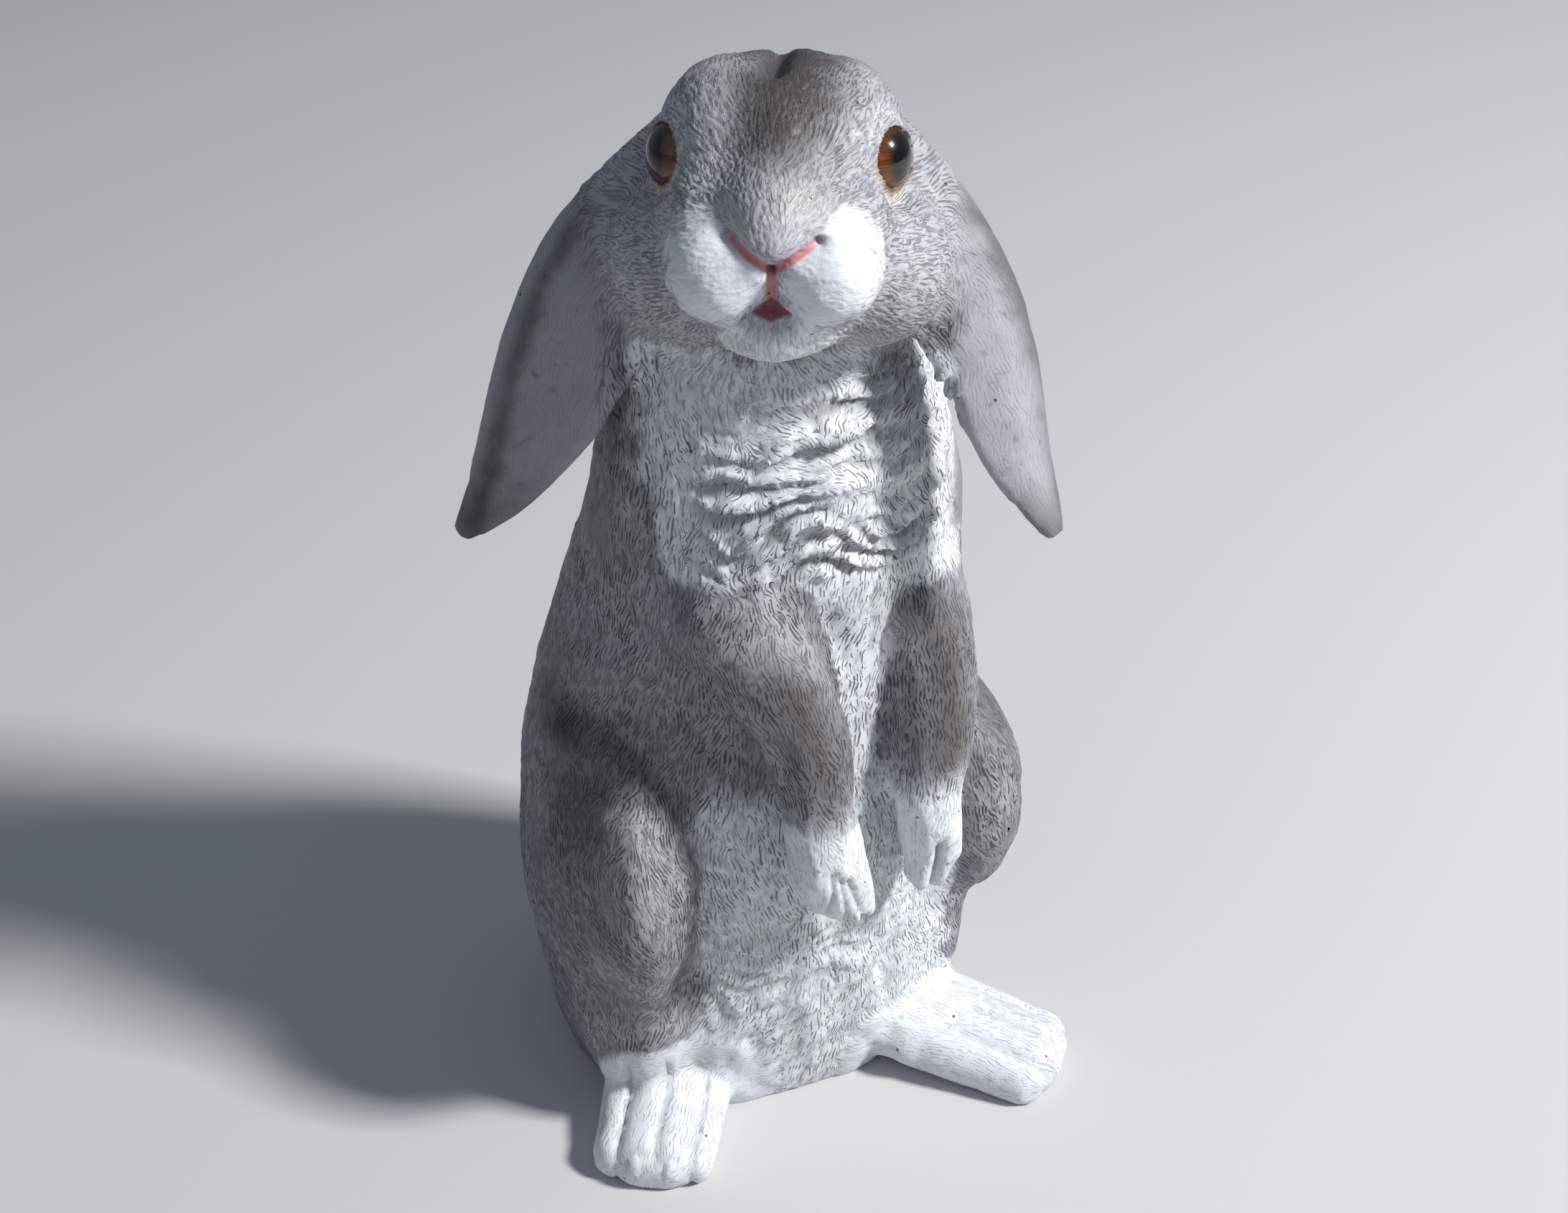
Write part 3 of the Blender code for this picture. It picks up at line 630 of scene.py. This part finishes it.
def makeCasting():
    casting = freshSkin()
    points, normals = readSkin(casting)
    print("fresh skin:", len(points), "points")
    shares, head = figureShares(points)
    points = openLids(points) + carveFace(points, head)
    writeSkin(casting, points)
    points, normals = readSkin(casting)
    points += normals * carveDetail(points, shares)[:, None]
    writeSkin(casting, points)
    points, normals = readSkin(casting)
    lie = furLie(points, normals, shares, head)
    strokes = layStrokes(points, normals, lie, toolShares(points, shares))
    print("strokes:", [len(group["at"]) for group in strokes])
    depth, ink = pressStrokes(points, strokes)
    points -= normals * depth[:, None]
    points[:, 2] = np.maximum(points[:, 2], 0)
    writeSkin(casting, points)
    print("carved")
    # weight 1 is thinned first, the face last
    face = shares["head"] * ramp(0, -20, head[:, 1])
    coarse = np.round(1 - shares["seen"] * (0.33 + 0.67 * np.maximum(face, 0.4 * shares["paws"])), 1)
    group = casting.vertex_groups.new(name="coarse")
    for step in np.unique(coarse[coarse > 0]):
        group.add(np.flatnonzero(coarse == step).tolist(), float(step), "REPLACE")
    count = sum(len(face.vertices) - 2 for face in casting.data.polygons)
    applyModifier(
        casting, "DECIMATE", ratio=castingSizes["triangles"] / count,
        vertex_group="coarse", vertex_group_factor=30.0,
    )
    casting.vertex_groups.clear()
    print("thinned:", len(casting.data.polygons), "faces")
    points, normals = readSkin(casting)
    # raised toes and locks end a hair inside the solid's own box
    low, high = (np.array(corner) * 1000 - figureShift for corner in cadBox)
    points = np.clip(points, low + 0.01, high - 0.01)
    writeSkin(casting, points)
    shares, head = figureShares(points)
    lie = furLie(points, normals, shares, head)
    depth, ink = pressStrokes(points, strokes)
    mesh = casting.data
    addValues(mesh, "washInk", ink * ramp(0.1, 0.6, shares["seen"]))
    addValues(mesh, "furAlong", lie)
    addValues(mesh, "furAcross", np.cross(normals, lie))
    for name, values in paintShares(points, shares, head).items():
        addValues(mesh, name, values)
    mesh.polygons.foreach_set("use_smooth", np.ones(len(mesh.polygons), bool))
    mesh.update()
    return casting


# Materials

def linear(hexColour):
    parts = [int(hexColour[k:k + 2], 16) / 255 for k in (1, 3, 5)]
    return (*[c / 12.92 if c <= 0.04045 else ((c + 0.055) / 1.055) ** 2.4 for c in parts], 1)


def newMaterial(name):
    material = bpy.data.materials.new(name)
    material.use_nodes = True
    return material, material.node_tree, material.node_tree.nodes["Principled BSDF"]


def addNode(tree, kind, settings=None, **links):
    node = tree.nodes.new(kind)
    for name, value in (settings or {}).items():
        setattr(node, name, value)
    for name, value in links.items():
        key = int(name[1:]) if name[0] == "i" and name[1:].isdigit() else name.replace("_", " ")
        socket = node.inputs[key]
        if isinstance(value, bpy.types.NodeSocket):
            tree.links.new(value, socket)
        else:
            socket.default_value = value
    return node


def mixColours(tree, share, first, second):
    node = addNode(tree, "ShaderNodeMix", {"data_type": "RGBA"}, i0=share, i6=first, i7=second)
    return node.outputs[2]


def calculate(tree, operation, *values):
    inputs = {f"i{place}": value for place, value in enumerate(values)}
    return addNode(tree, "ShaderNodeMath", {"operation": operation}, **inputs).outputs[0]


def between(tree, value, low, high, first=0.0, last=1.0):
    # first at low, last at high, and a smooth change from one to the other
    return addNode(
        tree, "ShaderNodeMapRange", {"interpolation_type": "SMOOTHSTEP"},
        Value=value, From_Min=low, From_Max=high, To_Min=first, To_Max=last,
    ).outputs[0]


resinPaint = {
    "grey": "#838489", "greyPale": "#B3B4B9", "earGrey": "#B4B5B9", "white": "#DCDFE3",
    "brown": "#544A44", "dark": "#2B2B30", "wash": "#34353B", "pink": "#CB8C8F",
    "mouth": "#A4646A", "cream": "#DDD0BE", "stain": "#6A3D1C",
    # metres: size of a tuft, shift of the pattern, pitch of the lines in a tuft
    "tufts": ((0.0088, 0.0, 0.00150), (0.0068, 0.37, 0.00135)),
    "tuftBend": 22.0,  # how much a line curves, 1/metre
    "lineLength": 0.005,  # metres from one break in a line to the next
    "roughness": 0.55,
}


# Sprayed acrylic on cast resin: matt to eggshell, a dark wash wiped back so that it stays in the
# strokes, and painted shade darkening the carved hollows
def makeResinPaint():
    look = resinPaint
    material, tree, shader = newMaterial("painted_resin")
    place = addNode(tree, "ShaderNodeTexCoord").outputs["Object"]

    def attribute(name, output="Fac"):
        return addNode(tree, "ShaderNodeAttribute", {"attribute_name": name}).outputs[output]

    def noise(size, detail=3.0, roughness=0.55):
        return addNode(
            tree, "ShaderNodeTexNoise", None,
            Vector=place, Scale=1 / size, Detail=detail, Roughness=roughness,
        ).outputs["Fac"]

    def vectors(kind, first, second):
        return addNode(tree, "ShaderNodeVectorMath", {"operation": kind}, i0=first, i1=second).outputs

    def both(first, second):
        return calculate(tree, "MULTIPLY", first, second)

    def allBut(share, amount=1.0):
        return calculate(tree, "MULTIPLY_ADD", share, -amount, 1.0)

    along = attribute("furAlong", "Vector")
    across = attribute("furAcross", "Vector")
    white = attribute("paintWhite")
    lines = []
    for cell, phase, pitch in look["tufts"]:
        shifted = vectors("ADD", place, (phase, phase, phase))[0]
        cells = addNode(tree, "ShaderNodeTexVoronoi", {"feature": "F1"}, Vector=shifted, Scale=1 / cell)
        away = vectors("SUBTRACT", shifted, cells.outputs["Position"])[0]
        side = vectors("DOT_PRODUCT", away, across)["Value"]
        run = vectors("DOT_PRODUCT", away, along)["Value"]
        dice = addNode(tree, "ShaderNodeSeparateColor", None, Color=cells.outputs["Color"]).outputs
        bend = both(calculate(tree, "SUBTRACT", dice[0], 0.5), 2 * look["tuftBend"])
        curved = calculate(tree, "MULTIPLY_ADD", both(bend, run), run, side)
        lean = calculate(tree, "MULTIPLY_ADD", dice[1], 0.7, -0.35)
        turned = calculate(tree, "MULTIPLY_ADD", run, lean, curved)
        wobble = calculate(tree, "MULTIPLY_ADD", noise(0.0055, 1.0), pitch * 1.1, turned)
        saw = calculate(tree, "PINGPONG", calculate(tree, "DIVIDE", wobble, pitch), 0.5)
        wide = calculate(tree, "DIVIDE", wobble, pitch * 1.3)
        long = calculate(tree, "DIVIDE", run, look["lineLength"])
        streaks = addNode(tree, "ShaderNodeCombineXYZ", None, X=wide, Y=long, Z=both(dice[2], 40.0))
        breaks = addNode(
            tree, "ShaderNodeTexNoise", None,
            Vector=streaks.outputs[0], Scale=1.0, Detail=1.0, Roughness=0.5,
        ).outputs["Fac"]
        half = between(tree, breaks, 0.36, 0.64, -0.05, 0.26)
        half = calculate(tree, "SUBTRACT", half, both(white, 0.075))
        lines.append(between(tree, calculate(tree, "SUBTRACT", saw, half), 0.08, -0.04))
    swap = between(tree, noise(0.013, 1.0), 0.47, 0.53)
    fine = addNode(tree, "ShaderNodeMix", None, i0=swap, i2=lines[0], i3=lines[1]).outputs[0]
    marks = attribute("furMarks")
    patchy = between(tree, noise(0.02), 0.32, 0.6, 0.55, 1.0)
    fine = both(fine, patchy)
    least = calculate(tree, "MULTIPLY_ADD", attribute("paintGlaze"), -0.4, 0.4)
    dent = both(fine, calculate(tree, "MAXIMUM", marks, least))
    fine = both(fine, marks)
    stroke = between(tree, attribute("washInk"), 0.25, 0.9)

    pink, mouth = attribute("paintPink"), attribute("paintMouth")
    hollowWashAndShade = attribute("hollowWashAndShade")
    tone = between(tree, noise(0.035), 0.3, 0.7)
    colour = mixColours(tree, both(tone, 0.6), linear(look["grey"]), linear(look["greyPale"]))
    colour = mixColours(tree, both(attribute("paintGlaze"), 0.85), colour, linear(look["earGrey"]))
    colour = mixColours(tree, attribute("paintBrown"), colour, linear(look["brown"]))
    # dark paint, which also carries painted shade in the creases, along the feet's lowest edge and on
    # the shaded ear
    colour = mixColours(tree, attribute("paintDarkAndShade"), colour, linear(look["dark"]))
    dabs = calculate(tree, "ADD", white, both(noise(0.0024, 2.0), 0.5))
    brush = between(tree, dabs, 0.32, 1.05)
    colour = mixColours(tree, brush, colour, linear(look["white"]))
    colour = mixColours(tree, attribute("paintCream"), colour, linear(look["cream"]))
    colour = mixColours(tree, both(attribute("paintStain"), 0.85), colour, linear(look["stain"]))
    colour = mixColours(tree, pink, colour, linear(look["pink"]))
    colour = mixColours(tree, mouth, colour, linear(look["mouth"]))
    soft = calculate(tree, "MULTIPLY_ADD", white, -0.12, 0.42)
    wash = calculate(tree, "MAXIMUM", both(stroke, soft), both(fine, 0.92))
    # the carved hollows are darkened too: partly real wash, partly painted shade in the folds
    wash = calculate(tree, "MAXIMUM", wash, both(hollowWashAndShade, 0.55))
    wash = both(wash, allBut(calculate(tree, "MAXIMUM", pink, mouth)))
    colour = mixColours(tree, wash, colour, linear(look["wash"]))
    # small pits, dented by the bump and filled with dark colour as painted shade inside them
    pits = addNode(tree, "ShaderNodeTexVoronoi", {"feature": "F1"}, Vector=place, Scale=1 / 0.011)
    hole = between(tree, pits.outputs["Distance"], 0.06, 0.04)
    colour = mixColours(tree, both(hole, 0.8), colour, linear(look["dark"]))
    tree.links.new(colour, shader.inputs["Base Color"])

    rough = between(tree, noise(0.006), 0.3, 0.7, look["roughness"] - 0.08, look["roughness"] + 0.12)
    tree.links.new(rough, shader.inputs["Roughness"])
    shader.inputs["IOR"].default_value = 1.49
    grain = both(noise(0.0011, 4.0, 0.6), 0.3)
    height = calculate(tree, "SUBTRACT", grain, both(dent, 0.9))
    height = calculate(tree, "SUBTRACT", height, hole)
    bump = addNode(tree, "ShaderNodeBump", None, Height=height, Strength=0.85, Distance=0.0006)
    tree.links.new(bump.outputs["Normal"], shader.inputs["Normal"])
    return material


glassEye = {
    "amber": "#4C2B0D", "amberRaysAndGlow": "#8E5724", "rim": "#1C0F07", "pupil": "#050404",
    "pupilWide": 7.8, "pupilTall": 9.0,  # half sizes in mm, with a soft edge
}


# Moulded glass painted behind: an amber iris with fine rays and a soft black pupil under a polished
# face; the iris is painted lighter towards its bottom as a painted glow of light through the glass
def makeGlassEye():
    look = glassEye
    material, tree, shader = newMaterial("eye_glass")
    spot = addNode(tree, "ShaderNodeAttribute", {"attribute_name": "irisPlace"}).outputs["Vector"]
    axes = addNode(tree, "ShaderNodeSeparateXYZ", None, Vector=spot).outputs
    wide = calculate(tree, "DIVIDE", axes[0], look["pupilWide"])
    tall = calculate(tree, "DIVIDE", axes[1], look["pupilTall"])
    squares = [calculate(tree, "MULTIPLY", axis, axis) for axis in (wide, tall)]
    ring = calculate(tree, "SQRT", calculate(tree, "ADD", *squares))
    pupil = between(tree, ring, 1.15, 0.7)
    angle = calculate(tree, "ARCTAN2", axes[1], axes[0])
    fan = addNode(
        tree, "ShaderNodeCombineXYZ", None,
        X=calculate(tree, "MULTIPLY", angle, 9.0), Y=calculate(tree, "MULTIPLY", ring, 0.8),
    ).outputs[0]
    plane = {"noise_dimensions": "2D"}
    rays = addNode(tree, "ShaderNodeTexNoise", plane, Vector=fan, Scale=1.6, Detail=4.0).outputs["Fac"]
    rays = addNode(tree, "ShaderNodeMapRange", None, Value=rays, From_Min=0.3, From_Max=0.75).outputs[0]
    # painted glow: the iris gets lighter towards its bottom, where light through the glass would gather
    low = addNode(tree, "ShaderNodeMapRange", None, Value=axes[1], From_Min=5.0, From_Max=-8.0)
    light = calculate(tree, "MULTIPLY", rays, calculate(tree, "ADD", low.outputs[0], 0.35))
    colour = mixColours(tree, light, linear(look["amber"]), linear(look["amberRaysAndGlow"]))
    rim = addNode(tree, "ShaderNodeMapRange", None, Value=axes[2], From_Min=6.0, From_Max=2.5)
    colour = mixColours(tree, rim.outputs[0], colour, linear(look["rim"]))
    colour = mixColours(tree, pupil, colour, linear(look["pupil"]))
    tree.links.new(colour, shader.inputs["Base Color"])
    shader.inputs["Roughness"].default_value = 0.25
    shader.inputs["IOR"].default_value = 1.52
    shader.inputs["Specular IOR Level"].default_value = 0.1  # the paint lies against the glass
    shader.inputs["Coat Weight"].default_value = 1.0
    shader.inputs["Coat Roughness"].default_value = 0.02
    shader.inputs["Coat IOR"].default_value = 1.52
    return material


def makeEye(name):
    centre, out, up, ahead = eyeFrames()[name]
    radius = castingSizes["eyeBall"]
    deselectAll()
    bpy.ops.mesh.primitive_uv_sphere_add(segments=64, ring_count=40, radius=radius / 1000)
    eye = bpy.context.object
    eye.name = eye.data.name = name.replace("glass", "amber_glass")
    turn = Matrix((np.cross(up, out), up, out)).transposed().to_4x4()
    eye.data.transform(Matrix.Translation(Vector((centre + figureShift) / 1000)) @ turn)
    points, _ = readSkin(eye)
    away = points - centre
    addValues(eye.data, "irisPlace", np.stack((away @ ahead, away @ up, away @ out), axis=1))
    eye.data.polygons.foreach_set("use_smooth", np.ones(len(eye.data.polygons), bool))
    return eye


# Studio: a plain pale floor, one broad soft key from the right, a weak fill and a pale sky

studio = {
    "floor": "#C9C9C8", "fleck": "#B4B4B3", "sky": "#CBD8EA", "skyStrength": 0.29,
    # each light's place: metres to the right of the statue, towards the camera, and up
    "keyPower": 119.0, "keySize": 0.45, "keyAt": (2.08, 0.75, 1.6),
    "fillPower": 1.3, "fillSize": 1.6, "fillAt": (-1.3, 1.0, 0.6),
}
photoCamera = {
    "aim": 188.0,  # mm above the ground, over the figure's own middle
    "round": 28.0, "above": 33.0, "distance": 0.85,
    "lens": 54.396, "sensor": 36.0,
}


def aimAt(obj, target):
    obj.rotation_euler = (Vector(target) - obj.location).to_track_quat("-Z", "Y").to_euler()


# Matt seamless paper with a faint fleck
def makePaper():
    material, tree, shader = newMaterial("studio_paper")
    place = addNode(tree, "ShaderNodeTexCoord").outputs["Object"]
    fleck = addNode(tree, "ShaderNodeTexNoise", None, Vector=place, Scale=400.0, Detail=3.0)
    share = calculate(tree, "MULTIPLY", fleck.outputs["Fac"], 0.06)
    colour = mixColours(tree, share, linear(studio["floor"]), linear(studio["fleck"]))
    tree.links.new(colour, shader.inputs["Base Color"])
    shader.inputs["Roughness"].default_value = 0.85
    return material


def viewFrame():
    turn, tilt = math.radians(photoCamera["round"]), math.radians(photoCamera["above"])
    back = Vector((-math.sin(turn) * math.cos(tilt), -math.cos(turn) * math.cos(tilt), math.sin(tilt)))
    right = Vector((math.cos(turn), -math.sin(turn), 0))
    return Vector((figureShift + (0, 0, photoCamera["aim"])) / 1000), back, right


def setStudio():
    deselectAll()
    bpy.ops.mesh.primitive_plane_add(size=14, location=(0, 0, 0))
    floor = bpy.context.object
    floor.name = "studio_floor"
    floor.data.materials.append(makePaper())
    target, back, _ = viewFrame()
    camera = bpy.data.objects.new("photo_camera", bpy.data.cameras.new("photo_camera"))
    bpy.context.scene.collection.objects.link(camera)
    camera.location = target + back * photoCamera["distance"]
    aimAt(camera, target)
    camera.data.lens = photoCamera["lens"]
    camera.data.sensor_width = photoCamera["sensor"]
    camera.data.clip_start = 0.01
    bpy.context.scene.camera = camera
    setLights()


def setLights():
    target, back, right = viewFrame()
    for name in ("key", "fill"):
        aside, ahead, up = studio[name + "At"]
        lamp = bpy.data.lights.new(name + "_light", "AREA")
        light = bpy.data.objects.new(name + "_light", lamp)
        bpy.context.scene.collection.objects.link(light)
        light.data.energy = studio[name + "Power"]
        light.data.size = studio[name + "Size"]
        light.location = target + right * aside + back * ahead + Vector((0, 0, up))
        aimAt(light, target)
    world = bpy.data.worlds.new("studio_sky")
    world.use_nodes = True
    world.node_tree.nodes["Background"].inputs[0].default_value = linear(studio["sky"])
    world.node_tree.nodes["Background"].inputs[1].default_value = studio["skyStrength"]
    bpy.context.scene.world = world
    bpy.context.scene.view_settings.view_transform = "Standard"


setStudio()
print("studio set")
casting = makeCasting()
casting.data.materials.append(makeResinPaint())
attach(casting, "root")
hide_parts("rabbit_casting")
print("casting carved and painted")

eyeMaterial = makeGlassEye()
for eyeName in eyeNames:
    eye = makeEye(eyeName)
    eye.data.materials.append(eyeMaterial)
    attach(eye, "root")
    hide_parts(eyeName)
print("eyes set")
